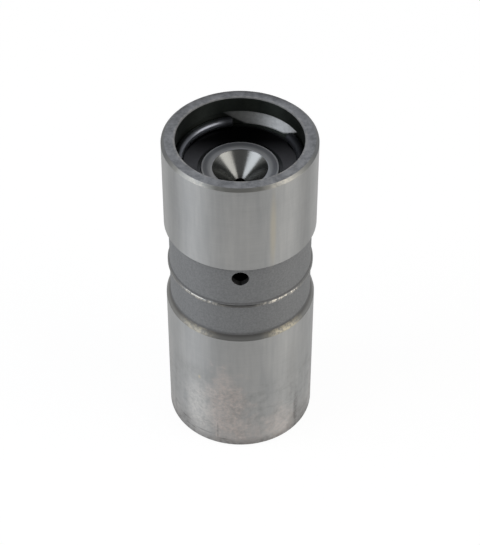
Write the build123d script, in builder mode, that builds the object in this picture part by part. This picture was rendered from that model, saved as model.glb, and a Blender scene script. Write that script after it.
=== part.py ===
from build123d import *
from math import cos, radians, sin, sqrt, tan
import os

os.makedirs("parts", exist_ok=True)

# A hydraulic flat-faced valve lifter, standing on its cam face.
# The origin is the centre of the cam face, +Z runs up the axis to the open mouth,
# and the oil hole faces -Y. All sizes are in millimetres.

# Body, outside
body_diameter = 21.39
body_length = 50.8
rim_chamfer_width = 0.45
rim_chamfer_depth = 0.4
foot_chamfer = 0.3
upper_land_length = 14.5
land_edge_break = 0.1
lower_land_length = 22.5
shoulder_width = 0.52
shoulder_height = 0.78
groove_depth = 0.615
groove_flare_radius = 1.0
ridge_rise = 0.28
ridge_width = 0.4
ridge_top = 29.25
ridge_bevel = 0.12
oil_hole_diameter = 2.4
oil_hole_below_land = 2.1

# Body, inside
plunger_bore = 17.0
foot_thickness = 7.0
bore_floor_fillet = 0.8
mouth_diameter = 17.58
mouth_depth = 2.4
mouth_edge_break = 0.12
ring_groove_diameter = 18.2

# Retaining ring: a gap is given by its angle and by its bearing from +Y towards +X
ring_wire = 1.4
ring_side_play = 0.05
ring_top_play = 0.75
ring_gap_angle = 60
ring_gap_bearing = 23
ring_end_round = 0.3

# Pushrod seat
seat_bore_play = 0.08
seat_ring_play = 0.05
groove_below_seat = 0.1
seat_height = 4.95
seat_foot_chamfer = 0.3
seat_rim_width = 0.5
seat_rim_round = 0.2
dish_depth = 0.75
dish_floor_width = 0.5
boss_diameter = 10.84
boss_height = 0.28
boss_chamfer = 0.14
cup_mouth_diameter = 7.84
cup_lip_round = 0.4
cup_angle = 99
seat_oil_hole = 1.5

# Plunger
plunger_play = 0.02
plunger_length = 22.0
plunger_edge_chamfer = 0.25
plunger_groove_depth = 0.5
plunger_groove_margin = 0.4
plunger_travel = 4.5
reservoir_diameter = 12.0
reservoir_fillet = 0.8
valve_floor_thickness = 1.8
feed_hole_diameter = 2.0
valve_hole_diameter = 3.0
valve_seat_width = 0.45
cage_recess_diameter = 13.2
cage_recess_depth = 2.2

# Metering disc
disc_recess_diameter = 13.2
disc_recess_depth = 0.6
disc_side_play = 0.15
disc_thickness = 0.35
disc_notch_diameter = 1.6
disc_notch_count = 3

# Check ball, its cage and its spring
ball_diameter = 4.76
ball_seat_play = 0.02
ball_lift = 0.6
cage_thickness = 0.45
cage_side_play = 0.15
cage_ball_play = 0.32
cage_floor_room = 1.0
cage_drain_hole = 1.2
cage_bend_radius = 0.3
cage_window_width = 1.5
cage_window_count = 4
cage_window_sill = 0.5
ball_spring_wire = 0.2
ball_spring_diameter = 2.8
ball_spring_turns = 4
ball_spring_play = 0.03

# Plunger spring
spring_wire = 1.1
spring_diameter = 11.2
spring_turns = 5.5
spring_end_play = 0.02

# Both springs: the gap between a closed end coil and the next, and points per turn of the wire's path
end_coil_gap = 0.02
coil_steps = 12

# Heights and radii that follow from the sizes above
body_radius = body_diameter / 2
neck_radius = body_radius - groove_depth
ridge_radius = neck_radius + ridge_rise
bore_radius = plunger_bore / 2
mouth_radius = mouth_diameter / 2
ring_groove_radius = ring_groove_diameter / 2
upper_land_bottom = body_length - upper_land_length
ridge_bottom = ridge_top - ridge_width
shoulder_top = lower_land_length + shoulder_height
oil_hole_height = upper_land_bottom - oil_hole_below_land

ring_groove_top = body_length - mouth_depth
ring_wire_radius = ring_wire / 2
ring_center_height = ring_groove_top - ring_top_play - ring_wire_radius
ring_center_radius = ring_groove_radius - ring_side_play - ring_wire_radius

seat_top = ring_center_height - ring_wire_radius - seat_ring_play
ring_groove_bottom = seat_top - groove_below_seat
seat_radius = bore_radius - seat_bore_play
seat_bottom = seat_top - seat_height
dish_floor = seat_top - dish_depth
dish_rim_radius = seat_radius - seat_rim_width
boss_radius = boss_diameter / 2
boss_top = dish_floor + boss_height
dish_floor_radius = boss_radius + dish_floor_width
cup_mouth_radius = cup_mouth_diameter / 2
seat_hole_radius = seat_oil_hole / 2
cup_depth = (cup_mouth_radius - seat_hole_radius) / tan(radians(cup_angle / 2))

plunger_radius = bore_radius - plunger_play
plunger_top = seat_bottom
plunger_bottom = plunger_top - plunger_length
reservoir_radius = reservoir_diameter / 2
cage_recess_radius = cage_recess_diameter / 2
valve_floor_bottom = plunger_bottom + cage_recess_depth
valve_floor_top = valve_floor_bottom + valve_floor_thickness
disc_recess_radius = disc_recess_diameter / 2
disc_ledge = plunger_top - disc_recess_depth

groove_reach = oil_hole_diameter / 2 + plunger_groove_margin
plunger_groove_bottom = oil_hole_height - groove_reach
plunger_groove_top = oil_hole_height + plunger_travel + groove_reach
plunger_groove_radius = plunger_radius - plunger_groove_depth
feed_hole_height = (plunger_groove_bottom + plunger_groove_top) / 2

ball_radius = ball_diameter / 2
valve_hole_radius = valve_hole_diameter / 2
valve_seat_radius = valve_hole_radius + valve_seat_width
ball_center = valve_floor_bottom + valve_seat_radius - (ball_radius + ball_seat_play) * sqrt(2)

cage_flange_bottom = valve_floor_bottom - cage_thickness
cage_flange_radius = cage_recess_radius - cage_side_play
cage_floor_top = ball_center - ball_radius - ball_lift - cage_floor_room
cage_floor_bottom = cage_floor_top - cage_thickness
cage_inner_radius = ball_radius + cage_ball_play
cage_outer_radius = cage_inner_radius + cage_thickness


def circles(part, radius, height):
    """The circular edges of a part that have this radius and lie at this height."""
    near = 0.001
    return (
        part.edges()
        .filter_by(GeomType.CIRCLE)
        .filter_by(lambda edge: abs(edge.radius - radius) < near)
        .filter_by(lambda edge: abs(edge.arc_center.Z - height) < near)
    )


def flare_height(width):
    """How high a flare of the grooves rises while it widens by this much."""
    return sqrt(groove_flare_radius**2 - (groove_flare_radius - width) ** 2)


def coil_points(radius, bottom, top, wire, turns):
    """Points along the middle of a spring's wire, with a closed coil at each end and the rest even."""
    low = bottom + wire / 2
    high = top - wire / 2
    end_rise = wire + end_coil_gap
    pitch = (high - low - 2 * end_rise) / (turns - 2)
    points = []
    for step in range(int(turns * coil_steps) + 1):
        turn = step / coil_steps
        if turn < 1:
            height = low + end_rise * turn
        elif turn < turns - 1:
            height = low + end_rise + pitch * (turn - 1)
        else:
            height = high - end_rise * (turns - turn)
        angle = radians(360 * turn)
        points.append((radius * cos(angle), radius * sin(angle), height))
    return points


# Lifter body: a bar with one turned recess, in which the ridge is left standing
shoulder_radius = body_radius - shoulder_width
ridge_edge_radius = ridge_radius - ridge_bevel
shoulder_flare_top = shoulder_top + flare_height(shoulder_radius - neck_radius)
ridge_flare_top = ridge_top + flare_height(ridge_edge_radius - neck_radius)

with BuildPart() as lifter_body:
    Cylinder(body_radius, body_length, align=(Align.CENTER, Align.CENTER, Align.MIN))
    chamfer(circles(lifter_body, body_radius, body_length), rim_chamfer_depth, rim_chamfer_width)
    chamfer(circles(lifter_body, body_radius, 0), foot_chamfer)

    with BuildSketch(Plane.XZ):
        with BuildLine():
            Polyline(
                (shoulder_radius, shoulder_top),
                (body_radius, lower_land_length),
                (body_radius, upper_land_bottom),
                (neck_radius, upper_land_bottom),
                (neck_radius, ridge_flare_top),
            )
            TangentArc(
                (neck_radius, ridge_flare_top),
                (ridge_edge_radius, ridge_top),
                tangent=(0, -1),
            )
            Polyline(
                (ridge_edge_radius, ridge_top),
                (ridge_radius, ridge_top - ridge_bevel),
                (ridge_radius, ridge_bottom),
                (neck_radius, ridge_bottom),
                (neck_radius, shoulder_flare_top),
            )
            TangentArc(
                (neck_radius, shoulder_flare_top),
                (shoulder_radius, shoulder_top),
                tangent=(0, -1),
            )
        make_face()
    revolve(axis=Axis.Z, mode=Mode.SUBTRACT)
    chamfer(circles(lifter_body, body_radius, upper_land_bottom), land_edge_break)

    # The plunger bore, the mouth and the groove for the retaining ring
    with BuildSketch(Plane.XZ):
        with BuildLine():
            Polyline(
                (0, foot_thickness),
                (bore_radius, foot_thickness),
                (bore_radius, ring_groove_bottom),
                (ring_groove_radius, ring_groove_bottom),
                (ring_groove_radius, ring_groove_top),
                (mouth_radius, ring_groove_top),
                (mouth_radius, body_length),
                (0, body_length),
                close=True,
            )
        make_face()
    revolve(axis=Axis.Z, mode=Mode.SUBTRACT)
    fillet(circles(lifter_body, bore_radius, foot_thickness), bore_floor_fillet)
    chamfer(circles(lifter_body, mouth_radius, body_length), mouth_edge_break)

    # The oil hole, from the front into the bore
    with BuildSketch(Plane.XZ):
        with Locations((0, oil_hole_height)):
            Circle(oil_hole_diameter / 2)
    extrude(amount=body_radius, mode=Mode.SUBTRACT)

# Retaining ring: round wire, from one side of its gap round to the other
ring_start = 90 - ring_gap_bearing + ring_gap_angle / 2
ring_start_cos = cos(radians(ring_start))
ring_start_sin = sin(radians(ring_start))
ring_end_plane = Plane(
    origin=(0, 0, 0),
    x_dir=(ring_start_cos, ring_start_sin, 0),
    z_dir=(ring_start_sin, -ring_start_cos, 0),
)

with BuildPart() as retaining_ring:
    with BuildSketch(ring_end_plane):
        with Locations((ring_center_radius, ring_center_height)):
            Circle(ring_wire_radius)
    revolve(axis=Axis.Z, revolution_arc=360 - ring_gap_angle)
    ring_ends = retaining_ring.faces().filter_by(GeomType.PLANE)
    fillet(ring_ends.edges(), ring_end_round)

# Pushrod seat: a dished flange, a raised boss and the conical cup
with BuildPart() as pushrod_seat:
    with BuildSketch(Plane.XZ):
        with BuildLine():
            Polyline(
                (seat_hole_radius, seat_bottom),
                (seat_radius, seat_bottom),
                (seat_radius, seat_top),
                (dish_rim_radius, seat_top),
                (dish_floor_radius, dish_floor),
                (boss_radius, dish_floor),
                (boss_radius, boss_top),
                (cup_mouth_radius, boss_top),
                (seat_hole_radius, boss_top - cup_depth),
                close=True,
            )
        make_face()
    revolve(axis=Axis.Z)
    chamfer(circles(pushrod_seat, seat_radius, seat_bottom), seat_foot_chamfer)
    fillet(circles(pushrod_seat, dish_rim_radius, seat_top), seat_rim_round)
    fillet(circles(pushrod_seat, seat_radius, seat_top), seat_rim_round)
    chamfer(circles(pushrod_seat, boss_radius, boss_top), boss_chamfer)
    fillet(circles(pushrod_seat, cup_mouth_radius, boss_top), cup_lip_round)

# Plunger: the oil reservoir above, the valve floor and the recess for the cage below
with BuildPart() as plunger:
    with BuildSketch(Plane.XZ):
        with BuildLine():
            Polyline(
                (valve_hole_radius, valve_floor_top),
                (reservoir_radius, valve_floor_top),
                (reservoir_radius, disc_ledge),
                (disc_recess_radius, disc_ledge),
                (disc_recess_radius, plunger_top),
                (plunger_radius, plunger_top),
                (plunger_radius, plunger_groove_top),
                (plunger_groove_radius, plunger_groove_top),
                (plunger_groove_radius, plunger_groove_bottom),
                (plunger_radius, plunger_groove_bottom),
                (plunger_radius, plunger_bottom),
                (cage_recess_radius, plunger_bottom),
                (cage_recess_radius, valve_floor_bottom),
                (valve_seat_radius, valve_floor_bottom),
                (valve_hole_radius, valve_floor_bottom + valve_seat_width),
                close=True,
            )
        make_face()
    revolve(axis=Axis.Z)
    chamfer(circles(plunger, plunger_radius, plunger_top), plunger_edge_chamfer)
    chamfer(circles(plunger, plunger_radius, plunger_bottom), plunger_edge_chamfer)
    fillet(circles(plunger, reservoir_radius, valve_floor_top), reservoir_fillet)

    with BuildSketch(Plane.XZ):
        with Locations((0, feed_hole_height)):
            Circle(feed_hole_diameter / 2)
    extrude(amount=plunger_radius, mode=Mode.SUBTRACT)

# Metering disc: notched round its rim, lying on the ledge inside the plunger's top
disc_radius = disc_recess_radius - disc_side_play

with BuildPart() as metering_disc:
    with BuildSketch(Plane.XY.offset(disc_ledge)):
        Circle(disc_radius)
        with PolarLocations(disc_radius, disc_notch_count):
            Circle(disc_notch_diameter / 2, mode=Mode.SUBTRACT)
    extrude(amount=disc_thickness)

# Check ball
with BuildPart() as check_ball:
    with Locations((0, 0, ball_center)):
        Sphere(ball_radius)

# Ball retainer: a flanged cup pressed from sheet, with windows in its wall
window_bottom = cage_floor_top + cage_window_sill
window_top = cage_flange_bottom - cage_window_sill

with BuildPart() as ball_retainer:
    with BuildSketch(Plane.XZ):
        with BuildLine():
            Polyline(
                (cage_drain_hole / 2, cage_floor_bottom),
                (cage_outer_radius, cage_floor_bottom),
                (cage_outer_radius, cage_flange_bottom),
                (cage_flange_radius, cage_flange_bottom),
                (cage_flange_radius, valve_floor_bottom),
                (cage_inner_radius, valve_floor_bottom),
                (cage_inner_radius, cage_floor_top),
                (cage_drain_hole / 2, cage_floor_top),
                close=True,
            )
        make_face()
    revolve(axis=Axis.Z)
    fillet(circles(ball_retainer, cage_outer_radius, cage_floor_bottom), cage_bend_radius)
    fillet(circles(ball_retainer, cage_outer_radius, cage_flange_bottom), cage_bend_radius)
    fillet(circles(ball_retainer, cage_inner_radius, valve_floor_bottom), cage_bend_radius)
    with BuildSketch(Plane.XY.offset(window_bottom)):
        with PolarLocations(cage_outer_radius, cage_window_count):
            Rectangle(cage_outer_radius, cage_window_width)
    extrude(amount=window_top - window_bottom, mode=Mode.SUBTRACT)

# Check ball spring: its top coil cradles the ball
ball_spring_radius = ball_spring_diameter / 2
ball_spring_wire_radius = ball_spring_wire / 2
cradle_reach = ball_radius + ball_spring_play + ball_spring_wire_radius
cradle_drop = sqrt(cradle_reach**2 - ball_spring_radius**2)
ball_spring_top = ball_center - cradle_drop + ball_spring_wire_radius

with BuildPart() as check_ball_spring:
    with BuildLine() as ball_spring_path:
        Spline(
            *coil_points(
                ball_spring_radius,
                cage_floor_top,
                ball_spring_top,
                ball_spring_wire,
                ball_spring_turns,
            )
        )
    with BuildSketch(ball_spring_path.line ^ 0):
        Circle(ball_spring_wire_radius)
    sweep(path=ball_spring_path.line, is_frenet=True)

# Plunger spring: it stands on the bore's floor and bears on the cage's flange
spring_bottom = foot_thickness + spring_end_play
spring_top = cage_flange_bottom - spring_end_play

with BuildPart() as plunger_spring:
    with BuildLine() as spring_path:
        Spline(
            *coil_points(
                spring_diameter / 2,
                spring_bottom,
                spring_top,
                spring_wire,
                spring_turns,
            )
        )
    with BuildSketch(spring_path.line ^ 0):
        Circle(spring_wire / 2)
    sweep(path=spring_path.line, is_frenet=True)

pieces = {
    "lifter_body": lifter_body,
    "retaining_ring": retaining_ring,
    "pushrod_seat": pushrod_seat,
    "plunger": plunger,
    "metering_disc": metering_disc,
    "check_ball": check_ball,
    "ball_retainer": ball_retainer,
    "check_ball_spring": check_ball_spring,
    "plunger_spring": plunger_spring,
}
for name, piece in pieces.items():
    piece.part.label = name
    export_step(piece.part, f"parts/{name}.step")
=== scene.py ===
"""A hydraulic valve lifter on a pale studio floor: turned surfaces, finishes, light and camera.

The body, the retaining ring, the pushrod seat and the two springs are drawn here as fine surfaces
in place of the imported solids, with the small rounds, nicks and wear that the solids leave out. The
plunger, the disc, the ball and its retainer keep their solids. The file is laid out as a Blender
add-on and is run as a script.
"""
import math
from functools import partial

import bmesh
import bpy
import numpy as np
from mathutils import Matrix, Vector


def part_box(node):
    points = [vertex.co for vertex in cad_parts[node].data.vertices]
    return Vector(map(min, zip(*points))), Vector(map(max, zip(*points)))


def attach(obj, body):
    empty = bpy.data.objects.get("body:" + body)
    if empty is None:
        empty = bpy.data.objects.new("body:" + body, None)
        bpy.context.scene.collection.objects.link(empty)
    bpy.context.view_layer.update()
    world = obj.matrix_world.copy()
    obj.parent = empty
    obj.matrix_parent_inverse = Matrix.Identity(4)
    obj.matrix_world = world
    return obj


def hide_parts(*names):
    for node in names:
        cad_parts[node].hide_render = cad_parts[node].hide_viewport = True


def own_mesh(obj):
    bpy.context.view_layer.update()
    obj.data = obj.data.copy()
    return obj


bl_info = {
    "name": "Valve lifter",
    "version": (1, 0, 0),
    "blender": (4, 5, 0),
    "location": "View3D > Sidebar > Lifter",
    "description": "Surfaces, finishes, light and camera for a hydraulic valve lifter",
    "category": "Object",
}

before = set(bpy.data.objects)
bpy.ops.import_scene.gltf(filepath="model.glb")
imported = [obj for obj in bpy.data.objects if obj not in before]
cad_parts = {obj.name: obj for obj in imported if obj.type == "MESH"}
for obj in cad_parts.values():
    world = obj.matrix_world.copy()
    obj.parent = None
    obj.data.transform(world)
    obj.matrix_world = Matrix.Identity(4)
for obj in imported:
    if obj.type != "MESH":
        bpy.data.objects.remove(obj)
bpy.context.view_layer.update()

MM = 0.001

# Sizes of the body in millimetres. The frame gives those that bound it.
BODY_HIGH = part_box("lifter_body")[1]
BODY_RADIUS = BODY_HIGH[0] / MM
BODY_LENGTH = BODY_HIGH[2] / MM
NECK_RADIUS = BODY_RADIUS - 0.615
RIDGE_RADIUS = NECK_RADIUS + 0.28
RIDGE_TOP = 29.25
RIDGE_BOTTOM = 28.85
RIDGE_BEVEL = 0.12
LOWER_LAND_TOP = 22.5
SHOULDER_WIDTH = 0.52
SHOULDER_TOP = 23.28
UPPER_LAND_BOTTOM = BODY_LENGTH - 14.5
LAND_EDGE = 0.1
FLARE_RADIUS = 1.0
FLARE_ROUND = 0.015
RIM_CHAMFER_WIDTH = 0.45
RIM_CHAMFER_DEPTH = 0.4
FOOT_CHAMFER = 0.3
BORE_RADIUS = 8.5
BORE_FLOOR = 7.0
BORE_FILLET = 0.8
MOUTH_RADIUS = 8.79
MOUTH_EDGE = 0.12
GROOVE_RADIUS = 9.1
GROOVE_TOP = BODY_LENGTH - 2.4
GROOVE_BOTTOM = 46.1

# Oil hole, with the small point that the drill left at its bottom: the point's height as a share
# of the hole's radius, and its half width in radians
OIL_HOLE_RADIUS = 1.2
OIL_HOLE_HEIGHT = 34.2
OIL_HOLE_EDGE = 0.04
DRILL_POINT = 0.06
DRILL_POINT_WIDTH = 0.3

# Pushrod seat
SEAT_LOW, SEAT_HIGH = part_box("pushrod_seat")
SEAT_RADIUS = SEAT_HIGH[0] / MM
SEAT_TOP = SEAT_HIGH[2] / MM
SEAT_BOTTOM = SEAT_LOW[2] / MM
SEAT_CHAMFER = 0.3
SEAT_RIM_WIDTH = 0.5
SEAT_RIM_ROUND = 0.2
DISH_FLOOR = SEAT_TOP - 0.75
DISH_FLOOR_WIDTH = 0.5
DISH_ROUND = 0.3
BOSS_RADIUS = 5.42
BOSS_HEIGHT = 0.28
BOSS_CHAMFER = 0.14
CUP_RADIUS = 3.92
CUP_HALF_ANGLE = 49.5
CUP_LIP = 0.6
SEAT_HOLE_RADIUS = 0.75

# Retaining ring: the gap's angle, and its bearing from the back to the right, in degrees
RING_LOW, RING_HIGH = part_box("retaining_ring")
RING_WIRE_RADIUS = (RING_HIGH[2] - RING_LOW[2]) / MM / 2
RING_HEIGHT = (RING_HIGH[2] + RING_LOW[2]) / MM / 2
RING_RADIUS = -RING_LOW[0] / MM - RING_WIRE_RADIUS
RING_GAP = 60
RING_BEARING = 23
RING_END_ROUND = 0.3

# Springs: the piece, its body, its CAD node, the joint that shortens it, its wire and its turns.
# Their heights come from the frame. A closed end coil leaves a small gap.
SPRINGS = (
    ("wound_plunger_spring", "body", "plunger_spring", "plunger_slide", 1.1, 5.5),
    ("wound_ball_spring", "plunger", "check_ball_spring", "check_ball_lift", 0.2, 4),
)
END_COIL_GAP = 0.02

# Steps of the surfaces. The square round the oil hole has a number of cells and a half height, and
# goes over to the circle in rings. A supporting point lies just past each round, and rows of
# points below an edge carry its nicks.
COLUMNS = 300
HOLE_CELLS = 16
HOLE_REACH = 1.68
HOLE_RINGS = 7
SUPPORT = 0.03
EDGE_ROWS = (0.2, 0.4, 0.6, 0.8)
ARC_STEPS = 6
RING_STEPS = 240
RING_SIDES = 32
COIL_STEPS = 48
COIL_SIDES = 16
WELD = 0.001

# Nicks: their half width in radians, and for the ridge, the shoulder and the rim the seed, the
# count and the share of the depth
NICK_WIDTH = 0.03
NICKS = ((4, 30, 1.0), (9, 30, 0.5), (15, 26, 0.4))

# How far a finish reaches past its edge
SKIN = 0.02

# The patch of clean metal on the mouth's wall, with a painted pool of light on it, lies opposite the
# ring's gap: half its angle in degrees, the height of its lowest point and how far its lower edge
# rises to its ends
LIT_BARE_HALF_ANGLE = 39
LIT_BARE_BOTTOM = BODY_LENGTH - 5.38
LIT_BARE_RISE = 2.9

# Nearer the axis than this the plunger is black, as its groove in the oil hole shows
PLUNGER_BLACK_RADIUS = 8.25

# Where a band of dirt starts that runs down to the foot
BELOW_FOOT = -1.0

# Noises on the body: how far each is stretched along x, y and z, its features per millimetre, its
# detail and its roughness. Clouds are some 4 mm across and taller than wide, grime 1.7 mm, smears
# 1 mm, specks half of that and grit 0.3 mm. Wipe streaks run upright, 0.6 mm wide, and turning
# marks run round the axis, 0.25 mm wide. Grit and marks are coarser than real ones, to show.
BODY_NOISES = {
    "cloud": ((1, 1, 0.4), 0.25, 4.0, 0.55),
    "grime": ((1, 1, 1), 0.6, 6.0, 0.75),
    "smear": ((1, 1, 0.6), 1.0, 6.0, 0.65),
    "speck": ((1, 1, 1), 1.9, 5.0, 0.6),
    "grit": ((1, 1, 1), 3.5, 3.0, 0.8),
    "wiped": ((1, 1, 0.07), 1.6, 4.0, 0.6),
    "marks": ((0.05, 0.05, 1), 4.0, 5.0, 0.7),
}

# Scratches by the foot at the left, as patches: the bearing and height of the middle, the half
# width in degrees and the half height in millimetres. The third is upright, the others run round.
SCRATCHES = (
    (-31, 1.9, 13, 0.2),
    (-15, 1.3, 8, 0.18),
    (-18.5, 2.9, 0.8, 2.2),
    (-50, 2.7, 10, 0.25),
    (-43, 1.5, 9, 0.2),
    (-62, 3.8, 7, 0.3),
)

# Studio, in metres and degrees. The camera was fitted to the circles that the photo shows.
FLOOR_HALF = 3.0
LAMP_ELEVATION = 42
LAMP_DISTANCE = 0.45
LAMP_WIDTH = 0.30
LAMP_HEIGHT = 0.28
CAMERA_PLACE = (-0.000043, -0.184631, 0.203272)
CAMERA_AIM = (-0.000043, 0.0, 0.025740)
CAMERA_ROLL = -0.127
CAMERA_LENS_MM = 78.29
CAMERA_SENSOR_MM = 24.0


def softened(corners, steps=4):
    """Round the corners of a profile.

    Each corner is (radius, height, round) in millimetres. An arc of that round, tangent to both
    sides, takes the place of the corner: its points are the centre plus the two end spokes,
    weighted by the sines of the angles left and gone over the sine of the whole. A point just off
    each end of the arc keeps the long faces flat in shade.
    """
    corners = np.array(corners, float)
    points = [corners[0, :2]]
    for before, here, after in zip(corners[:-2], corners[1:-1], corners[2:]):
        middle, round_off = here[:2], here[2]
        if round_off == 0:
            points.append(middle)
            continue
        back = (before[:2] - middle) / np.linalg.norm(before[:2] - middle)
        onward = (after[:2] - middle) / np.linalg.norm(after[:2] - middle)
        half = math.acos(np.clip(back @ onward, -1, 1)) / 2
        inward = (back + onward) / np.linalg.norm(back + onward)
        centre = middle + inward * round_off / math.sin(half)
        start = middle + back * round_off / math.tan(half)
        end = middle + onward * round_off / math.tan(half)
        sweep = math.pi - 2 * half
        gone = np.linspace(0, sweep, steps + 1)[:, None]
        spokes = np.sin(sweep - gone) * (start - centre) + np.sin(gone) * (end - centre)
        arc = centre + spokes / math.sin(sweep)
        points.extend((start + back * SUPPORT, *arc, end + onward * SUPPORT))
    points.append(corners[-1, :2])
    return np.array(points)


def flare(rise, low):
    """Corners of a hollow round that widens a groove's wall by rise at the height low."""
    turn = np.linspace(math.acos(1 - rise / FLARE_RADIUS), 0, ARC_STEPS)
    radius = NECK_RADIUS + FLARE_RADIUS * (1 - np.cos(turn))
    height = low + FLARE_RADIUS * (math.sin(turn[0]) - np.sin(turn))
    round_off = np.where(turn == turn[0], FLARE_ROUND, 0)
    return np.stack([radius, height, round_off], axis=1).tolist()


def bearings():
    """Bearings of the columns: radians from the front to the right, starting at the back."""
    return np.linspace(-np.pi, np.pi, COLUMNS, endpoint=False)


def turned(profile):
    """A profile turned round the axis.

    x is the radius times the sine of the bearing, and y is minus the radius times its cosine.
    """
    bearing = bearings()
    radius = profile[:, 0, None]
    height = np.broadcast_to(profile[:, 1, None], (len(profile), COLUMNS))
    return np.stack([radius * np.sin(bearing), -radius * np.cos(bearing), height], axis=-1)


def quads(grid):
    """Corner numbers of the faces of a grid that closes round, as rows by columns by four."""
    rows, columns = grid.shape[:2]
    number = np.arange(rows * columns).reshape(rows, columns)
    number = np.concatenate([number, number[:, :1]], axis=1)
    return np.stack([number[:-1, :-1], number[:-1, 1:], number[1:, 1:], number[1:, :-1]], axis=-1)


def surface(name, body, node, slot, material, *parts):
    """Weld grids of points in millimetres into one closed surface that stands for a CAD node.

    Each part is an array of points, rows by columns by three, and its faces. Points that meet are
    merged, which also closes the seams and poles.
    """
    points = np.concatenate([grid.reshape(-1, 3) for grid, _ in parts]) * MM
    starts = np.cumsum([0] + [grid.shape[0] * grid.shape[1] for grid, _ in parts])
    corners = [cells.reshape(-1, 4) + start for (_, cells), start in zip(parts, starts)]
    used, faces = np.unique(np.concatenate(corners), return_inverse=True)
    mesh = bpy.data.meshes.new(name)
    mesh.from_pydata(points[used], [], faces.reshape(-1, 4))
    welder = bmesh.new()
    welder.from_mesh(mesh)
    bmesh.ops.remove_doubles(welder, verts=welder.verts, dist=WELD * MM)
    bmesh.ops.recalc_face_normals(welder, faces=welder.faces)
    open_edges = sum(not edge.is_manifold for edge in welder.edges)
    welder.to_mesh(mesh)
    welder.free()
    if open_edges:
        raise RuntimeError(f"{name} has {open_edges} open edges")
    mesh.shade_smooth()
    mesh.materials.append(material)
    piece = bpy.data.objects.new(name, mesh)
    bpy.context.scene.collection.objects.link(piece)
    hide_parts(node)
    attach(piece, body)
    return piece


def nicks(bearing, seed, count, depth):
    """Small dents round an edge, in millimetres of depth.

    Each is a bell curve over the bearing, and the deepest at a bearing counts. The widths vary by
    half and the depths from a fifth to the whole.
    """
    chance = np.random.default_rng(seed)
    places = chance.uniform(-np.pi, np.pi, count)
    widths = chance.uniform(0.5, 1.5, count) * NICK_WIDTH
    depths = chance.uniform(0.2, 1.0, count) * depth
    away = (bearing[:, None] - places + np.pi) % (2 * np.pi) - np.pi
    return np.max(depths * np.exp(-((away / widths) ** 2)), axis=1)


def body_profile(shape):
    """The body's outline, from the middle of the foot round the outside to the bore's floor."""
    fine = shape.edge_round / MM
    shoulder = BODY_RADIUS - SHOULDER_WIDTH
    ridge_edge = RIDGE_RADIUS - RIDGE_BEVEL
    hole_low, hole_high = OIL_HOLE_HEIGHT - HOLE_REACH, OIL_HOLE_HEIGHT + HOLE_REACH
    hole_rows = np.linspace(hole_low, hole_high, HOLE_CELLS + 1)
    rim_edge = BODY_LENGTH - RIM_CHAMFER_DEPTH
    corners = [
        (0, 0, 0),
        (BODY_RADIUS - FOOT_CHAMFER, 0, fine),
        (BODY_RADIUS, FOOT_CHAMFER, fine),
        *((BODY_RADIUS, LOWER_LAND_TOP - below, 0) for below in EDGE_ROWS[::-1]),
        (BODY_RADIUS, LOWER_LAND_TOP, fine),
        (shoulder, SHOULDER_TOP, fine / 2),
        *flare(shoulder - NECK_RADIUS, SHOULDER_TOP)[1:],
        (NECK_RADIUS, RIDGE_BOTTOM, fine / 2),
        (RIDGE_RADIUS, RIDGE_BOTTOM, fine / 2),
        (RIDGE_RADIUS, RIDGE_TOP - RIDGE_BEVEL, fine / 2),
        *flare(ridge_edge - NECK_RADIUS, RIDGE_TOP),
        *((NECK_RADIUS, height, 0) for height in hole_rows),
        (NECK_RADIUS, UPPER_LAND_BOTTOM, fine / 2),
        (BODY_RADIUS - LAND_EDGE, UPPER_LAND_BOTTOM, fine / 2),
        (BODY_RADIUS, UPPER_LAND_BOTTOM + LAND_EDGE, fine / 2),
        *((BODY_RADIUS, rim_edge - below, 0) for below in EDGE_ROWS[::-1]),
        (BODY_RADIUS, rim_edge, fine),
        (BODY_RADIUS - RIM_CHAMFER_WIDTH, BODY_LENGTH, fine),
        (MOUTH_RADIUS + MOUTH_EDGE, BODY_LENGTH, fine / 2),
        (MOUTH_RADIUS, BODY_LENGTH - MOUTH_EDGE, fine / 2),
        (MOUTH_RADIUS, GROOVE_TOP, fine / 2),
        (GROOVE_RADIUS, GROOVE_TOP, fine / 2),
        (GROOVE_RADIUS, GROOVE_BOTTOM, fine / 2),
        (BORE_RADIUS, GROOVE_BOTTOM, fine / 2),
        *((BORE_RADIUS, height, 0) for height in hole_rows[::-1]),
        (BORE_RADIUS, BORE_FLOOR, BORE_FILLET),
        (0, BORE_FLOOR, 0),
    ]
    return softened(corners)


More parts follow.
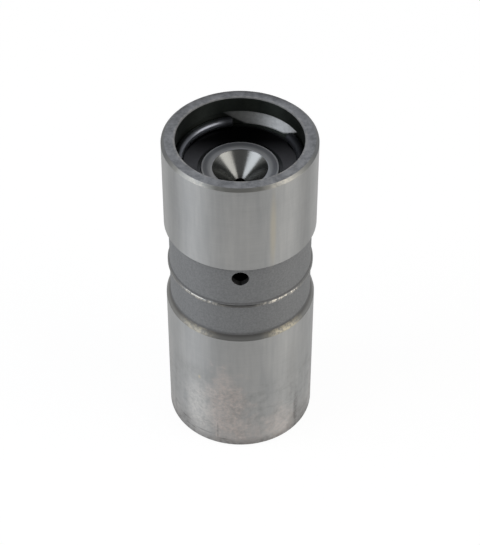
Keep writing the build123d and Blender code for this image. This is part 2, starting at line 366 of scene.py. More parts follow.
def oil_hole():
    """Rings of points from a square opening in the outer wall through the hole to the bore's.

    Each ring has as many points as the square has steps round it. On the wall the rings go from
    the square to the circle in even shares, and in the hole they follow its rounded edge and then
    its wall. The drill's point is a bell curve on the circle's radius. On a cylinder, y is minus
    the root of the radius squared less x squared.
    """
    side = np.arange(HOLE_CELLS)
    half = HOLE_CELLS // 2
    across = np.concatenate([side - half, 0 * side + half, half - side, 0 * side - half])
    up = np.roll(across, HOLE_CELLS)
    turn = np.arctan2(up, across)
    point = 1 + DRILL_POINT * np.exp(-(((turn + np.pi / 2) / DRILL_POINT_WIDTH) ** 2))
    circle = np.stack([np.cos(turn), np.sin(turn)]) * point
    rings = []

    def lay(radius, share, size, sunk):
        """Add a ring on a cylinder, mixed from square to circle and sunk towards the axis."""
        square = np.stack([radius * np.sin(across * 2 * np.pi / COLUMNS), up * HOLE_REACH / half])
        x, z = (1 - share) * square + share * circle * size
        y = sunk - np.sqrt(radius**2 - x**2)
        rings.append(np.stack([x, y, z + OIL_HOLE_HEIGHT], axis=-1))

    edge = OIL_HOLE_EDGE
    for share in np.linspace(0, 1, HOLE_RINGS):
        lay(NECK_RADIUS, share, OIL_HOLE_RADIUS + edge, 0)
    for turn_in in np.linspace(0, np.pi / 2, ARC_STEPS - 1)[1:]:
        size = OIL_HOLE_RADIUS + edge * (1 - math.sin(turn_in))
        lay(NECK_RADIUS, 1, size, edge * (1 - math.cos(turn_in)))
    lay(NECK_RADIUS, 1, OIL_HOLE_RADIUS, edge + SUPPORT)
    lay(BORE_RADIUS, 1, OIL_HOLE_RADIUS, -SUPPORT)
    for share in np.linspace(1, 0, HOLE_RINGS):
        lay(BORE_RADIUS, share, OIL_HOLE_RADIUS, 0)
    return np.stack(rings)


def body_surface(shape):
    """The turned body with its oil hole, and with nicks on the ridge, the shoulder and the rim.

    A nick draws the points of its edge in towards the axis by its depth. On the ridge the depth
    grows with the radius, and at the other two it fades up and down as a bell curve.
    """
    profile = body_profile(shape)
    radius, height = profile.T
    grid = turned(profile)
    bearing = bearings()

    depth = shape.nick_depth / MM
    on_ridge = np.clip((radius - NECK_RADIUS - 0.04) / (RIDGE_RADIUS - NECK_RADIUS), 0, 1)
    on_ridge = on_ridge * (abs(height - RIDGE_TOP + 0.2) < 0.3)
    on_shoulder = np.exp(-(((height - LOWER_LAND_TOP) / 0.25) ** 2)) * (radius > BODY_RADIUS - 0.3)
    on_rim = np.exp(-(((height - BODY_LENGTH + 0.2) / 0.3) ** 2)) * (radius > BODY_RADIUS - 0.6)
    worn = sum(
        edge[:, None] * nicks(bearing, seed, count, depth * share)
        for edge, (seed, count, share) in zip((on_ridge, on_shoulder, on_rim), NICKS)
    )
    kept = 1 - worn / np.maximum(radius, 1)[:, None]
    grid[..., :2] *= kept[..., None]

    faces = quads(grid)
    keep = np.ones(faces.shape[:2], bool)
    middle = COLUMNS // 2
    half = HOLE_CELLS // 2
    for wall in (NECK_RADIUS, BORE_RADIUS):
        near = (abs(radius - wall) < 1e-6) & (abs(height - OIL_HOLE_HEIGHT) < HOLE_REACH + 1e-6)
        first = np.flatnonzero(near)[0]
        keep[first : first + HOLE_CELLS, middle - half : middle + half] = False
    rings = oil_hole()
    return (grid, faces[keep]), (rings, quads(rings))


def seat_surface(shape):
    """The turned pushrod seat: dished flange, raised boss, conical cup and its oil hole.

    The cup is a cone, so its depth is the width of its wall over the tangent of its half angle.
    """
    fine = shape.edge_round / MM
    boss_top = DISH_FLOOR + BOSS_HEIGHT
    cup_angle = math.radians(CUP_HALF_ANGLE)
    cup_bottom = boss_top - (CUP_RADIUS - SEAT_HOLE_RADIUS) / math.tan(cup_angle)
    corners = [
        (SEAT_RADIUS / 2, SEAT_BOTTOM, 0),
        (SEAT_RADIUS - SEAT_CHAMFER, SEAT_BOTTOM, fine),
        (SEAT_RADIUS, SEAT_BOTTOM + SEAT_CHAMFER, fine),
        (SEAT_RADIUS, SEAT_TOP, SEAT_RIM_ROUND),
        (SEAT_RADIUS - SEAT_RIM_WIDTH, SEAT_TOP, SEAT_RIM_ROUND),
        (BOSS_RADIUS + DISH_FLOOR_WIDTH, DISH_FLOOR, DISH_ROUND),
        (BOSS_RADIUS, DISH_FLOOR, fine / 2),
        (BOSS_RADIUS, DISH_FLOOR + BOSS_HEIGHT - BOSS_CHAMFER, fine / 2),
        (BOSS_RADIUS - BOSS_CHAMFER, boss_top, fine / 2),
        (CUP_RADIUS, boss_top, CUP_LIP),
        (SEAT_HOLE_RADIUS, cup_bottom, fine),
        (SEAT_HOLE_RADIUS, SEAT_BOTTOM, fine),
        (SEAT_RADIUS / 2, SEAT_BOTTOM, 0),
    ]
    grid = turned(softened(corners, steps=6))
    return ((grid, quads(grid)),)


def ring_surface():
    """Round wire bent into an open ring.

    A circle is carried along an arc, whose angle is the way over the ring's radius. Towards each
    end the circle shrinks by a quarter round to a flat, and the flat closes in its middle.
    """
    turn = np.linspace(0, np.pi / 2, ARC_STEPS)
    flat = RING_WIRE_RADIUS - RING_END_ROUND
    end_size = np.concatenate([[0], flat + RING_END_ROUND * np.sin(turn), [RING_WIRE_RADIUS]])
    end_way = np.concatenate(
        [[0], RING_END_ROUND * (1 - np.cos(turn)), [RING_END_ROUND + SUPPORT]]
    )
    length = math.radians(360 - RING_GAP) * RING_RADIUS
    along = np.linspace(end_way[-1], length - end_way[-1], RING_STEPS)[1:-1]
    way = np.concatenate([end_way, along, length - end_way[::-1]])
    size = np.concatenate([end_size, 0 * along + RING_WIRE_RADIUS, end_size[::-1]])
    bearing = math.radians(180 - RING_BEARING + RING_GAP / 2) + way / RING_RADIUS
    around = np.linspace(0, 2 * np.pi, RING_SIDES, endpoint=False)
    radius = RING_RADIUS + size[:, None] * np.cos(around)
    height = RING_HEIGHT + size[:, None] * np.sin(around)
    grid = np.stack(
        [radius * np.sin(bearing)[:, None], -radius * np.cos(bearing)[:, None], height], axis=-1
    )
    return ((grid, quads(grid)),)


def coil_surface(low, high, wire, turns):
    """A spring between two heights.

    A circle is carried up a helix of even pitch, with a closed coil and a cut end at the top and
    the bottom: x and y are the radius times the cosine and sine of the turn.
    """
    low_z, high_z = low[2] / MM + wire / 2, high[2] / MM - wire / 2
    radius = high[0] / MM - wire / 2
    rise = wire + END_COIL_GAP
    turn = np.linspace(0, turns, int(turns * COIL_STEPS) + 1)
    heights = [low_z, low_z + rise, high_z - rise, high_z]
    middle = np.interp(turn, [0, 1, turns - 1, turns], heights)
    size = np.full(len(turn), wire / 2)
    turn, middle, size = (np.concatenate([row[:1], row, row[-1:]]) for row in (turn, middle, size))
    size[0] = size[-1] = 0
    around = np.linspace(0, 2 * np.pi, COIL_SIDES, endpoint=False)
    away = radius + size[:, None] * np.cos(around)
    height = middle[:, None] + size[:, None] * np.sin(around)
    angle = 2 * np.pi * turn[:, None]
    grid = np.stack([away * np.cos(angle), away * np.sin(angle), height], axis=-1)
    return ((grid, quads(grid)),)


def linear(hex_colour):
    """An sRGB hex colour as linear RGBA."""
    parts = [int(hex_colour[i : i + 2], 16) / 255 for i in (0, 2, 4)]
    rgb = (c / 12.92 if c <= 0.04045 else ((c + 0.055) / 1.055) ** 2.4 for c in parts)
    return (*rgb, 1.0)


def put(tree, kind, *values, out=0, **settings):
    """Add a node and give one of its outputs, or the node itself where it has none.

    The settings are its attributes. The values go to its inputs in order, as numbers or links, and
    None skips an input.
    """
    made = tree.nodes.new("ShaderNode" + kind)
    for name, value in settings.items():
        setattr(made, name, value)
    for socket, value in zip(made.inputs, values):
        if isinstance(value, bpy.types.NodeSocket):
            tree.links.new(value, socket)
        elif value is not None:
            socket.default_value = value
    return made.outputs[out] if made.outputs else made


class Finish:
    """A material under way: its tree, its shader, and the places that its patterns use.

    Places are in millimetres: place is the point, back its distance behind the axis, radius and
    height its distances from the axis and above the foot. The angles go to the right, in degrees:
    bearing from the front and behind from the back.
    """

    def __init__(self, name):
        self.material = bpy.data.materials.new(name)
        self.material.use_nodes = True
        self.tree = self.material.node_tree
        self.tree.nodes.clear()
        self.put = partial(put, self.tree)
        self.shader = self.put("BsdfPrincipled").node
        output = self.put("OutputMaterial")
        self.tree.links.new(self.shader.outputs[0], output.inputs[0])
        where = self.put("TexCoord", out="Object")
        self.place = self.put("VectorMath", where, None, None, 1 / MM, operation="SCALE")
        part = self.put("SeparateXYZ", self.place).node
        right, self.back, self.height = part.outputs
        self.outward = self.put("VectorMath", self.place, (1, 1, 0), operation="MULTIPLY")
        self.radius = self.put("VectorMath", self.outward, operation="LENGTH", out="Value")
        front = self.put("Math", self.back, -1.0, operation="MULTIPLY")
        self.bearing, self.behind = (
            self.put("Math", self.put("Math", right, way, operation="ARCTAN2"), operation="DEGREES")
            for way in (front, self.back)
        )

    def patch(self, bearing, height, wide, tall, soft=0.6, ragged=0.0):
        """A soft oval on the outer wall, 1 in the middle and 0 outside.

        Wide is half its width in degrees, tall half its height in millimetres, and soft the share
        that fades. Where ragged isn't 0, a noise of 2 mm pushes the edge in and out by that share.
        """
        over = self.put("Math", self.bearing, bearing, operation="SUBTRACT")
        over = self.put("Math", over, wide, operation="DIVIDE")
        up = self.put("Math", self.height, height, operation="SUBTRACT")
        up = self.put("Math", up, tall, operation="DIVIDE")
        reach = self.put("CombineXYZ", over, up)
        if ragged:
            push = self.put("TexNoise", self.place, None, 0.5, 4.0, 0.6, out=0)
            push = self.put("MapRange", push, 0.3, 0.7, 1.0 - ragged, 1.0 + ragged)
            reach = self.put("VectorMath", reach, None, None, push, operation="SCALE")
        reach = self.put("VectorMath", reach, operation="LENGTH", out="Value")
        return self.put("MapRange", reach, 1.0, 1.0 - soft, interpolation_type="SMOOTHSTEP")

    def between(self, value, low, high, soft):
        """1 where a value lies between two limits, 0 outside, over a soft edge."""
        ramp = partial(self.put, "MapRange", value, interpolation_type="SMOOTHSTEP")
        rise, fall = ramp(low - soft, low + soft), ramp(high + soft, high - soft)
        return self.put("Math", rise, fall, operation="MULTIPLY")

    def share(self, *factors):
        """The product of some shares."""
        total = factors[0]
        for factor in factors[1:]:
            total = self.put("Math", total, factor, operation="MULTIPLY")
        return total

    def coats(self, base, *layers):
        """A base colour under coats, each a share and a colour. Colours are sRGB hex or links."""
        for share, colour in layers:
            pair = [linear(tone) if isinstance(tone, str) else tone for tone in (base, colour)]
            base = self.put("Mix", share, *[None] * 5, *pair, out=2, data_type="RGBA")
        return base

    def set(self, **sockets):
        """Values or links for the shader's sockets, underscores for spaces."""
        for name, value in sockets.items():
            socket = self.shader.inputs[name.replace("_", " ")]
            if isinstance(value, bpy.types.NodeSocket):
                self.tree.links.new(value, socket)
            else:
                socket.default_value = value

    def grain_round_axis(self, amount, outward=0.0):
        """Grain round the axis, as turning leaves it: it spreads a light across the grain.

        Where outward is 1 the grain runs from the axis outwards instead, as a wiped face has it.
        """
        tangent = self.put("Tangent", direction_type="RADIAL", axis="Z")
        spoke = self.put("VectorMath", self.outward, operation="NORMALIZE")
        ways = (None, None, None, tangent, spoke)
        tangent = self.put("Mix", outward, *ways, out=1, data_type="VECTOR")
        self.set(Tangent=tangent, Anisotropic=amount, Anisotropic_Rotation=0.25)


def ground_steel(look):
    """Hardened steel. The lands are ground bright, the grooves are turned matt, and heat and oil
    left the mouth black. Light spreads up and down each band, so the lands show stripes."""
    steel = Finish("ground_steel")
    n, share, between, patch = steel.put, steel.share, steel.between, steel.patch
    radius, height, bearing = steel.radius, steel.height, steel.bearing

    # Where each finish lies. The limits are just off each edge, as rounds and nicks draw it in
    land = n("Math", radius, BODY_RADIUS - 0.03, operation="GREATER_THAN")
    face = n("Math", height, BODY_LENGTH - SKIN, operation="GREATER_THAN")
    outer = n("Math", radius, BODY_RADIUS - RIM_CHAMFER_WIDTH - SKIN, operation="GREATER_THAN")
    edge = n("Math", height, BODY_LENGTH - RIM_CHAMFER_DEPTH - SKIN, operation="GREATER_THAN")
    edge = n("Math", share(edge, outer), face, operation="SUBTRACT", use_clamp=True)
    shoulder = between(height, LOWER_LAND_TOP, SHOULDER_TOP, SKIN)
    crest = n("Math", radius, RIDGE_RADIUS - RIDGE_BEVEL - 0.06, operation="GREATER_THAN")
    crest = share(crest, between(height, RIDGE_BOTTOM - SKIN, RIDGE_TOP, SKIN))
    mouth = n("Math", radius, GROOVE_RADIUS + 0.07, operation="LESS_THAN")
    inside = n("Math", height, BODY_LENGTH - MOUTH_EDGE - SKIN, operation="LESS_THAN")
    mouth = share(mouth, inside)
    drilled = n("Math", radius, NECK_RADIUS - 0.03, operation="LESS_THAN")
    drilled = share(drilled, between(height, BORE_FLOOR / 2, GROOVE_BOTTOM, 0.1))

    noise = {}
    for name, (stretch, scale, detail, roughness) in BODY_NOISES.items():
        place = n("Mapping", steel.place, None, None, stretch)
        noise[name] = n("TexNoise", place, None, scale, detail, roughness, out=0)

    # A noise lies round 0.5. Limits close to it make patches, and wide ones make soft clouds
    tone = n("MapRange", n("Mix", 0.5, None, noise["cloud"], noise["wiped"]), 0.28, 0.72)
    smears = n("MapRange", noise["smear"], 0.35, 0.65)
    grit = n("MapRange", noise["grit"], 0.35, 0.65)
    grime = n("MapRange", noise["grime"], 0.46, 0.66)
    specks = n("MapRange", noise["speck"], 0.42, 0.58)
    glint_specks = n("MapRange", noise["speck"], 0.42, 0.56, 0.2, 0.9)
    chips = n("MapRange", noise["speck"], 0.48, 0.54)
    broken = n("MapRange", noise["speck"], 0.38, 0.62, 0.35, 1.0)

    # Painted highlights: pale specks on the chamfer and the shoulder and pale chips on the ridge
    # where the lamps shine, on the shoulder and the ridge more so at the right, and pale glints
    # along the mouth's edge. Painted shade darkens the sides of the lands and of the chamfer, the
    # front of the ridge and the outside of the rim's face at the back. Painted light brightens the
    # front of the lands
    side = n("Math", bearing, operation="ABSOLUTE")
    lit = between(side, 24, 50, 10)
    corner = between(side, 24, 40, 8)
    lean = n("MapRange", bearing, -22.92, 22.92, 0.4, 0.75)
    chip_glints = share(between(side, 16, 52, 6), chips, lean)
    side_shade = between(side, 47, 64, 9)
    side_shade = share(side_shade, n("MapRange", height, LOWER_LAND_TOP, UPPER_LAND_BOTTOM, 0.06, 0.2))
    turned_away = n("MapRange", side, 52, 72)
    to_left = n("MapRange", bearing, 0, -28.65)
    front = between(bearing, -14, 14, 9)
    front_light = share(front, between(height, 12.0, BODY_LENGTH, 4.0))
    inner_edge = between(radius, MOUTH_RADIUS, MOUTH_RADIUS + 0.3, 0.1)
    dull = n("MapRange", radius, MOUTH_RADIUS + 0.4, BODY_RADIUS - RIM_CHAMFER_WIDTH)
    rear = n("MapRange", steel.back, 0.0, BODY_RADIUS)
    # Among these coats, painted light and shade: the lands' darker sides and lighter front, the rim
    # face's darker outside, the mouth edge's glints, the chamfer's darker sides and pale specks, the
    # shoulder's pale specks, and the ridge's darker front and pale chips
    colour = steel.coats(
        steel.coats(look.groove_low, (grit, look.groove_high)),
        (land, steel.coats(look.land_low, (tone, look.land_high))),
        (share(land, side_shade), look.dark),
        (share(land, front_light, 0.18), look.pale),
        (face, steel.coats(look.face_low, (smears, look.face_high))),
        (share(face, dull, rear, 0.6), look.dark),
        (share(face, inner_edge, specks, 0.2), look.rubbed_glint),
        (edge, look.edge),
        (share(edge, turned_away, 0.75), look.face_low),
        (share(edge, corner, specks, 0.35), look.rubbed_glint),
        (shoulder, look.ridge),
        (share(shoulder, lit, glint_specks), look.rust_and_glint),
        (share(shoulder, to_left, 0.35), look.ridge),
        (crest, look.ridge),
        (share(crest, front, 0.6), look.dark),
        (share(crest, chip_glints), look.rubbed_glint),
    )

    # Stains of baked oil and dirt, and painted shade, in the order they are laid: where each lies,
    # what breaks it up, its share and its colour
    stains = (
        # A thin band and mottled pale brown patches on the lower land
        (between(height, BELOW_FOOT, 4.6, 2.2), broken, 0.18, look.varnish),
        (patch(-11, 8.0, 23, 9.5, 0.6, 0.35), broken, 0.85, look.varnish),
        (patch(33, 3.0, 20, 5.2, 0.7, 0.4), broken, 0.5, look.varnish),
        (patch(9, 2.4, 15, 4.6, 0.7, 0.4), broken, 0.35, look.varnish),
        # Dirt by the foot at both sides, grime above it, and a line where the wear begins
        (patch(-46, 2.2, 24, 2.6, 0.9, 0.5), broken, 0.42, look.dark),
        (patch(56, 2.2, 20, 2.8, 0.9, 0.5), broken, 0.35, look.dark),
        (between(height, BELOW_FOOT, 13.0, 1.8), grime, 0.19, look.dark),
        (patch(-42, 14.0, 36, 2.4, 0.9), broken, 0.15, look.dark),
        # A paler patch at the left, and a dark run and a dull patch at the right
        (patch(-35, 6.0, 19, 9.0, 0.8, 0.3), broken, 0.85, look.pale),
        (patch(50, 4.6, 4.2, 5.6, 0.9), broken, 0.55, look.dark),
        (patch(44, 14.0, 9, 9.5, 0.9), 1.0, 0.14, look.dark),
        # A speck, and a faint yellow streak down the upper land
        (patch(-34, 13.3, 1.8, 0.5, 0.8), 1.0, 0.8, look.rust_and_glint),
        (patch(24.3, 43.0, 3.6, 9.0, 0.8), 1.0, 0.5, look.rust_and_glint),
        # Painted shade round the foot and in the corners of the grooves
        (between(height, BELOW_FOOT, 1.1, 0.8), broken, 0.5, look.dark),
        (between(height, SHOULDER_TOP - 0.3, SHOULDER_TOP + 0.3, 0.25), 1.0, 0.5, look.dark),
        (between(height, RIDGE_TOP + 0.05, RIDGE_TOP + 0.3, 0.12), 1.0, 0.45, look.dark),
        *((patch(*scratch), broken, 0.42, look.dark) for scratch in SCRATCHES),
    )
    for where, pattern, amount, tint in stains:
        colour = steel.coats(colour, (share(where, pattern, amount), tint))

    # The mouth's wall is black but for the turned wall in the ring's gap, which shows clean metal
    # under
    # a painted pool of light: a lens, straight above and bowed below, which fades to the left into
    # painted shadow
    aside = n("Math", steel.behind, RING_BEARING, operation="SUBTRACT")
    aside = n("Math", aside, LIT_BARE_HALF_ANGLE, operation="DIVIDE")
    lower = n("Math", aside, 2.0, operation="POWER")
    lower = n("Math", lower, LIT_BARE_RISE, LIT_BARE_BOTTOM, operation="MULTIPLY_ADD")
    bare_and_lit = n("MapRange", n("Math", height, lower, operation="SUBTRACT"), -0.12, 0.18)
    deep = n("Math", radius, MOUTH_RADIUS + 0.15, operation="GREATER_THAN")
    bare_and_lit = share(bare_and_lit, deep, mouth, n("MapRange", aside, -1.0, 0.0, 0.25, 1.0))
    colour = steel.coats(
        colour,
        (mouth, steel.coats(look.mouth_low, (noise["smear"], look.mouth_high))),
        (bare_and_lit, steel.coats(look.bare_and_lit, (share(specks, 0.12), look.mouth_high))),
        (drilled, look.blackened),
    )

    # The grooves are rough and dull, and every other finish is metal with a roughness of its own
    rough, metal = 0.62, 0.12
    finishes = (
        (land, 0.5),
        (mouth, 0.35),
        (bare_and_lit, 0.6),
        (edge, 0.45),
        (shoulder, 0.32),
        (crest, 0.32),
    )
    for where, level in finishes:
        rough = n("Mix", where, None, rough, level)
        metal = n("Mix", where, None, metal, 1.0)
    uneven = n("MapRange", noise["marks"], 0.3, 0.7, -0.05, 0.05)
    relief = n("Math", noise["marks"], share(noise["smear"], 0.6), operation="ADD")
    steel.set(
        Base_Color=colour,
        Roughness=n("Math", rough, uneven, operation="ADD"),
        Metallic=metal,
        Normal=n("Bump", 0.3, 0.006 * MM, None, relief),
    )
    steel.grain_round_axis(0.9)
    return steel.material


def blued_wire(look):
    """Drawn spring wire with a black oxide skin and a coat of oil, which gives one long soft
    highlight. Painted shade makes it die out towards the ends and weaker at the left side."""
    wire = Finish("blued_spring_wire")

    # Blotches of 0.7 mm in the oxide
    fine = wire.put("TexNoise", wire.place, None, 1.5, 4.0, 0.6, out=0)
    # Painted shade: the wire is darkened towards its ends and at its left side
    left_end = RING_BEARING - RING_GAP / 2 - 12
    right_end = RING_BEARING + RING_GAP / 2 + 45
    ends = wire.between(wire.behind, left_end, right_end, 7)
    left_side = wire.between(wire.behind, -125, -50, 10)
    colour = wire.coats(
        look.wire_low,
        (fine, look.wire_high),
        (wire.share(ends, 0.8), look.blackened),
        (wire.share(left_side, 0.2), look.blackened),
    )
    rough = wire.put("MapRange", fine, 0.3, 0.7, 0.26, 0.32)
    rough = wire.put("Mix", ends, None, rough, 0.6)
    wire.set(Base_Color=colour, Roughness=rough, Metallic=1.0)
    return wire.material


def black_oxide(look):
    """The pushrod seat: glossy black oxide in the dish, the boss faced grey with painted highlights
    on its edges, the cup coined smooth, so that it mirrors each lamp as one streak."""
    seat = Finish("black_oxide_steel")
    n, share, radius = seat.put, seat.share, seat.radius
    raised = n("Math", seat.height, DISH_FLOOR + 0.03, operation="GREATER_THAN")
    boss = share(n("Math", radius, BOSS_RADIUS + 0.01, operation="LESS_THAN"), raised)
    cup = n("Math", radius, CUP_RADIUS - 0.08, operation="LESS_THAN")
    faced = n("Math", boss, cup, operation="SUBTRACT", use_clamp=True)
    # Painted highlights round the cup's lip and on the boss's outer edge
    lip = seat.between(radius, CUP_RADIUS - 0.04, CUP_RADIUS + 0.55, 0.25)
    outer = seat.between(radius, BOSS_RADIUS - 0.3, BOSS_RADIUS, 0.12)
    rubbed_glint = n("Math", share(lip, 0.5), share(outer, 0.8), operation="MAXIMUM")

    # Painted shade darkens the dish towards the back and its rim, and the bottom of the cup
    dish_shade = n("Math", radius, BOSS_RADIUS + 0.58, operation="SUBTRACT")
    dish_shade = n("Math", dish_shade, 0.8, seat.back, operation="MULTIPLY_ADD")
    dish_shade = n("MapRange", dish_shade, 0.6, 6.4, 0.0, 0.93)
    deep = n("MapRange", radius, SEAT_HOLE_RADIUS + 0.5, SEAT_HOLE_RADIUS, 0.0, 0.5)

    # Blotches of 0.7 mm, and turning marks of 0.17 mm, which are coarser than real ones
    fine = n("TexNoise", seat.place, None, 1.4, 5.0, 0.6, out=0)
    rings = n("TexNoise", n("CombineXYZ", radius), None, 6.0, 4.0, 0.6, out=0)
    seat.set(
        Base_Color=seat.coats(
            look.oxide_low,
            (fine, look.oxide_high),
            (dish_shade, look.blackened),
            (boss, seat.coats(look.boss_low, (fine, look.boss_high))),
            (share(faced, rubbed_glint), look.boss_edge_glint),
            (cup, look.cup),
            (share(deep, cup), look.blackened),
        ),
        Roughness=n("Mix", cup, None, n("Mix", boss, None, 0.2, 0.5), 0.24),
        Metallic=n("Mix", faced, None, 1.0, 0.85),
        Normal=n("Bump", 0.15, 0.004 * MM, None, rings),
    )
    seat.grain_round_axis(0.6, faced)
    return seat.material


def plain_steel(name, low, high, rough, grain, blackened=0.0):
    """A steel of one finish: two tones of grain, of the given size in millimetres.

    Nearer the axis than the radius oiled it is black.
    """
    steel = Finish(name)
    fine = steel.put("TexNoise", steel.place, None, 1 / grain, 4.0, 0.6, out=0)
    colour = steel.coats(low, (fine, high))
    if blackened:
        wet = steel.put("Math", steel.radius, blackened, operation="LESS_THAN")
        colour = steel.coats(colour, (wet, "0c0c0c"))
    steel.set(
        Base_Color=colour,
        Roughness=steel.put("MapRange", fine, 0.3, 0.7, rough - 0.04, rough + 0.06),
        Metallic=1.0,
    )
    return steel.material


def dress(node, material):
    """Give a CAD node its material."""
    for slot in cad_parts[node].material_slots:
        slot.material = material


def colour_property(name, description, default):
    """A six-figure sRGB hex colour."""
    return bpy.props.StringProperty(name=name, description=description, default=default, maxlen=6)


class LifterShape(bpy.types.PropertyGroup):
    """Sizes of the wear and rounds that the surfaces add."""

    edge_round: bpy.props.FloatProperty(
        name="Edge round",
        description="Round of the turned edges",
        default=0.07 * MM,
        unit="LENGTH",
    )
    nick_depth: bpy.props.FloatProperty(
        name="Nick depth",
        description="Deepest nick in the ridge",
        default=0.08 * MM,
        unit="LENGTH",
    )


class LifterFinishes(bpy.types.PropertyGroup):
    """Colours of the finishes, as sRGB hex."""

    land_low: colour_property("Land, dark", "Ground lands, darker tone", "a9aaaa")
    land_high: colour_property("Land, light", "Ground lands, lighter tone", "bebebc")
    groove_low: colour_property("Groove, dark", "Turned grooves, darker tone", "7d7e7f")
    groove_high: colour_property("Groove, light", "Turned grooves, lighter tone", "8f9090")
    # Also painted shade on the sides of the chamfer
    face_low: colour_property("Rim face, dark", "Flat top of the rim, darker tone", "6e7074")
    face_high: colour_property("Rim face, light", "Flat top of the rim, lighter tone", "96989c")
    edge: colour_property("Rim chamfer", "Chamfer of the rim", "a8a8a4")
    # Also painted highlights: pale specks where the lamps shine on the shoulder
    rust_and_glint: colour_property("Rust", "Specks on the shoulder, and yellow streak", "cbc3ae")
    ridge: colour_property("Ridge", "Crest of the ridge, and shoulder", "868684")
    mouth_low: colour_property("Mouth, dark", "Wall of the mouth, darker tone", "383c38")
    mouth_high: colour_property("Mouth, light", "Wall of the mouth, lighter tone", "4b504b")
    # Clean metal under a painted pool of light
    bare_and_lit: colour_property("Bare patch", "Turned wall in the gap of the ring", "e0e1e0")
    varnish: colour_property("Varnish", "Baked oil on the lower land", "d8cec8")
    # Also painted light on the front of the lands
    pale: colour_property("Rubbed land", "Rubbed patch and front of the lands", "d2d0cc")
    # Painted highlights: pale specks and chips where the lamps shine, and glints along the mouth's
    # edge
    rubbed_glint: colour_property("Rubbed edge", "Corners rubbed pale by handling", "e2dccf")
    # Also painted shade: sides of the lands, outside of the rim's face, front of the ridge, corners
    # of the grooves and round the foot
    dark: colour_property("Dirt", "Dirt, dark runs and scratches", "3a3836")
    # Black in the bore and the oil hole; painted shade on the dish, the cup's bottom, and the ring's
    # ends and left side
    blackened: colour_property("Old oil", "Oil hole, dish, cup's bottom and ring's ends", "060606")
    wire_low: colour_property("Wire, dark", "Retaining ring, darker tone", "6e7178")
    wire_high: colour_property("Wire, light", "Retaining ring, lighter tone", "8b8e96")
    oxide_low: colour_property("Oxide, dark", "Black oxide, darker tone", "4b4c50")
    oxide_high: colour_property("Oxide, light", "Black oxide, lighter tone", "5b5c61")
    boss_low: colour_property("Boss, dark", "Faced boss round the cup, darker tone", "8c8e94")
    boss_high: colour_property("Boss, light", "Faced boss round the cup, lighter tone", "a0a2a8")
    # Painted highlights on the boss's edges and round the cup's lip
    boss_edge_glint: colour_property("Boss edge", "Rubbed edges of the boss", "e4e6e8")
    cup: colour_property("Cup", "Coined cup", "848583")


class LifterStudio(bpy.types.PropertyGroup):
    """Light and camera."""

    left_power: bpy.props.FloatProperty(
        name="Left lamp", description="Power of the left softbox", default=0.67, unit="POWER"
    )
    right_power: bpy.props.FloatProperty(
        name="Right lamp", description="Power of the right softbox", default=0.52, unit="POWER"
    )
    room: bpy.props.FloatProperty(
        name="Room", description="Brightness of the room above the sweep", default=0.41
    )
    sweep: bpy.props.FloatProperty(
        name="Sweep", description="Brightness of the white sweep round the object", default=1.0
    )


class LIFTER_OT_body(bpy.types.Operator):
    """Make the lifter body."""

    bl_idname = "lifter.body"
    bl_label = "Lifter body"

    def execute(self, context):
        scene = context.scene
        parts = body_surface(scene.lifter_shape)
        material = ground_steel(scene.lifter_finishes)
        surface("turned_body", "body", "lifter_body", "ground_steel", material, *parts)
        return {"FINISHED"}


class LIFTER_OT_ring(bpy.types.Operator):
    """Make the retaining ring."""

    bl_idname = "lifter.ring"
    bl_label = "Retaining ring"

    def execute(self, context):
        parts = ring_surface()
        material = blued_wire(context.scene.lifter_finishes)
        surface("wire_ring", "body", "retaining_ring", "black_spring_wire", material, *parts)
        return {"FINISHED"}


class LIFTER_OT_seat(bpy.types.Operator):
    """Make the pushrod seat."""

    bl_idname = "lifter.seat"
    bl_label = "Pushrod seat"

    def execute(self, context):
        scene = context.scene
        parts = seat_surface(scene.lifter_shape)
        material = black_oxide(scene.lifter_finishes)
        surface("turned_seat", "plunger", "pushrod_seat", "black_oxide_steel", material, *parts)
        return {"FINISHED"}


class LIFTER_OT_inner(bpy.types.Operator):
    """Finish the plunger, the disc, the ball and its retainer, which are inside."""

    bl_idname = "lifter.inner"
    bl_label = "Inner pieces"

    def execute(self, context):
        # The node, its steel, two tones, roughness, grain and where it is black. Lapped steel has
        # an even sheen, sheet is duller, and a ball is polished
        inner = (
            ("plunger", "lapped_plunger_steel", "8a8b8d", "a8a8a8", 0.28, 0.6, PLUNGER_BLACK_RADIUS),
            ("metering_disc", "rolled_disc_steel", "77797b", "8f9091", 0.35, 0.8),
            ("check_ball", "polished_ball_steel", "b0b0b0", "c2c2c0", 0.12, 1.2),
            ("ball_retainer", "pressed_sheet_steel", "6f7072", "8b8b8b", 0.4, 0.7),
        )
        for node, *steel in inner:
            dress(node, plain_steel(*steel))
        return {"FINISHED"}


class LIFTER_OT_springs(bpy.types.Operator):
    """Make the two springs."""

    bl_idname = "lifter.springs"
    bl_label = "Springs"

    def execute(self, context):
        steel = plain_steel("oiled_spring_steel", "4d4e52", "66676a", rough=0.38, grain=0.4)
        for name, body, node, joint, wire, turns in SPRINGS:
            low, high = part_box(node)
            parts = coil_surface(low, high, wire, turns)
            coil = surface(name, body, node, "spring_steel", steel, *parts)
            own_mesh(coil)
        return {"FINISHED"}


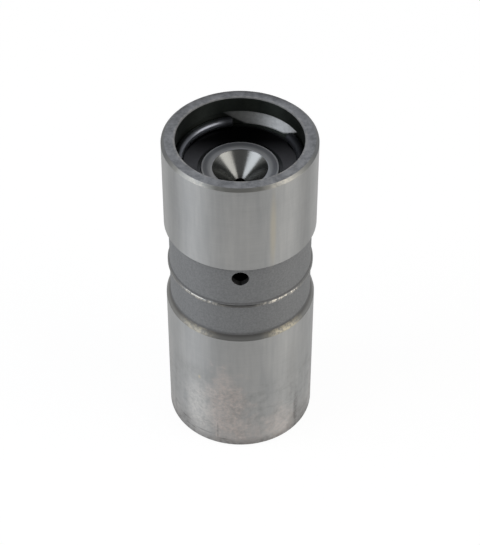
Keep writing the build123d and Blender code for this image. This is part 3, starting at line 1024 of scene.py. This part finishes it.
def white_paper():
    """White paper: to the camera it is white but for the object's shadow, to the metal it is pale.

    It glows by itself so as to be white at any light: most of what the camera sees is this glow,
    and less of what the metal mirrors.
    """
    material = bpy.data.materials.new("white_paper")
    material.use_nodes = True
    tree = material.node_tree
    tree.nodes.clear()
    n = partial(put, tree)
    paper = n("BsdfDiffuse", linear("f4f4f4"))
    glow = n("Emission", (1, 1, 1, 1), 1.06)
    rays = n("LightPath").node
    seen = n("Math", rays.outputs["Is Camera Ray"], 0.88, operation="MULTIPLY")
    mirrored = n("Math", rays.outputs["Is Glossy Ray"], 0.42, operation="MULTIPLY")
    glowing = n("Math", seen, mirrored, operation="ADD", use_clamp=True)
    n("OutputMaterial", n("MixShader", glowing, paper, glow))
    return material


def paper_floor():
    """A wide floor of white paper under the object."""
    half = FLOOR_HALF
    corners = [(-half, -half, 0), (half, -half, 0), (half, half, 0), (-half, half, 0)]
    mesh = bpy.data.meshes.new("floor")
    mesh.from_pydata(corners, [], [(0, 1, 2, 3)])
    mesh.materials.append(white_paper())
    floor = bpy.data.objects.new("floor", mesh)
    bpy.context.scene.collection.objects.link(floor)


def softbox(name, azimuth, power, colour):
    """An area lamp turned to the middle of the object, at an azimuth in degrees from the front."""
    lamp = bpy.data.lights.new(name, "AREA")
    lamp.shape = "RECTANGLE"
    lamp.size = LAMP_WIDTH
    lamp.size_y = LAMP_HEIGHT
    lamp.energy = power
    lamp.color = linear(colour)[:3]
    made = bpy.data.objects.new(name, lamp)
    bpy.context.scene.collection.objects.link(made)
    around, up = math.radians(azimuth), math.radians(LAMP_ELEVATION)
    level = math.cos(up)
    away = Vector((math.sin(around) * level, -math.cos(around) * level, math.sin(up)))
    place = Vector((0, 0, BODY_LENGTH / 2 * MM)) + away * LAMP_DISTANCE
    turned_to = away.to_track_quat("Z", "Y").to_matrix().to_4x4()
    made.matrix_world = Matrix.Translation(place) @ turned_to


def tent(studio):
    """The unseen room: a white sweep low behind and beside the object, and a grey room that is
    dark overhead. The camera sees it white.

    The direction's Z is the sine of the angle above the floor. The sweep is white up to 12 degrees
    and gone at 34, and towards the camera it is gone 30 degrees before the object's sides. The
    room is grey up to 44 degrees, and above 72 an eighth of that.
    """
    world = bpy.data.worlds.new("tent")
    world.use_nodes = True
    tree = world.node_tree
    tree.nodes.clear()
    n = partial(put, tree)
    way = n("SeparateXYZ", n("TexCoord", out="Generated")).node
    low = n("MapRange", way.outputs["Z"], 0.56, 0.2)
    behind = n("MapRange", way.outputs["Y"], -0.5, 0.2)
    white = n("Math", low, behind, operation="MULTIPLY")
    room = n("MapRange", way.outputs["Z"], 0.95, 0.7, studio.room / 8, studio.room)
    level = n("Mix", white, None, room, studio.sweep)
    level = n("Mix", n("LightPath", out="Is Camera Ray"), None, level, 1.0)
    n("OutputWorld", n("Background", (1, 1, 1, 1), level))
    bpy.context.scene.world = world


def photo_camera():
    """The camera that took the photo."""
    lens = bpy.data.cameras.new("photo_camera")
    lens.sensor_fit = "VERTICAL"
    lens.sensor_height = CAMERA_SENSOR_MM
    lens.lens = CAMERA_LENS_MM
    lens.clip_start = 0.01
    lens.clip_end = 20.0
    camera = bpy.data.objects.new("photo_camera", lens)
    bpy.context.scene.collection.objects.link(camera)
    place = Vector(CAMERA_PLACE)
    back = (place - Vector(CAMERA_AIM)).normalized()
    right = Vector((0, 0, 1)).cross(back).normalized()
    roll = math.radians(CAMERA_ROLL)
    sideways = math.cos(roll) * right + math.sin(roll) * back.cross(right)
    rotation = Matrix((sideways, back.cross(sideways), back)).transposed().to_4x4()
    camera.matrix_world = Matrix.Translation(place) @ rotation
    bpy.context.scene.camera = camera


class LIFTER_OT_stage(bpy.types.Operator):
    """Set up the floor, the light and the camera."""

    bl_idname = "lifter.stage"
    bl_label = "Studio"

    def execute(self, context):
        studio = context.scene.lifter_studio
        paper_floor()
        softbox("left_softbox", -74, studio.left_power, "f1f6ff")
        softbox("right_softbox", 71, studio.right_power, "fffbf6")
        tent(studio)
        photo_camera()
        context.scene.view_settings.view_transform = "Standard"
        return {"FINISHED"}


class LIFTER_PT_panel(bpy.types.Panel):
    """The lifter's pieces and its studio."""

    bl_idname = "LIFTER_PT_panel"
    bl_label = "Valve lifter"
    bl_space_type = "VIEW_3D"
    bl_region_type = "UI"
    bl_category = "Lifter"

    def draw(self, context):
        scene = context.scene
        for group in (scene.lifter_shape, scene.lifter_finishes, scene.lifter_studio):
            for name in group.__annotations__:
                self.layout.prop(group, name)
        for operator in OPERATORS:
            self.layout.operator(operator.bl_idname)


GROUPS = (LifterShape, LifterFinishes, LifterStudio)
OPERATORS = (
    LIFTER_OT_body,
    LIFTER_OT_ring,
    LIFTER_OT_seat,
    LIFTER_OT_inner,
    LIFTER_OT_springs,
    LIFTER_OT_stage,
)


def register():
    """Register the classes and hang the property groups on the scene."""
    for cls in GROUPS + OPERATORS + (LIFTER_PT_panel,):
        bpy.utils.register_class(cls)
    bpy.types.Scene.lifter_shape = bpy.props.PointerProperty(type=LifterShape)
    bpy.types.Scene.lifter_finishes = bpy.props.PointerProperty(type=LifterFinishes)
    bpy.types.Scene.lifter_studio = bpy.props.PointerProperty(type=LifterStudio)


def unregister():
    """Undo register."""
    del bpy.types.Scene.lifter_studio
    del bpy.types.Scene.lifter_finishes
    del bpy.types.Scene.lifter_shape
    for cls in reversed(GROUPS + OPERATORS + (LIFTER_PT_panel,)):
        bpy.utils.unregister_class(cls)


def main():
    """Make every piece."""
    register()
    bpy.ops.lifter.body()
    bpy.ops.lifter.ring()
    bpy.ops.lifter.seat()
    bpy.ops.lifter.inner()
    bpy.ops.lifter.springs()
    bpy.ops.lifter.stage()


if __name__ == "__main__":
    main()
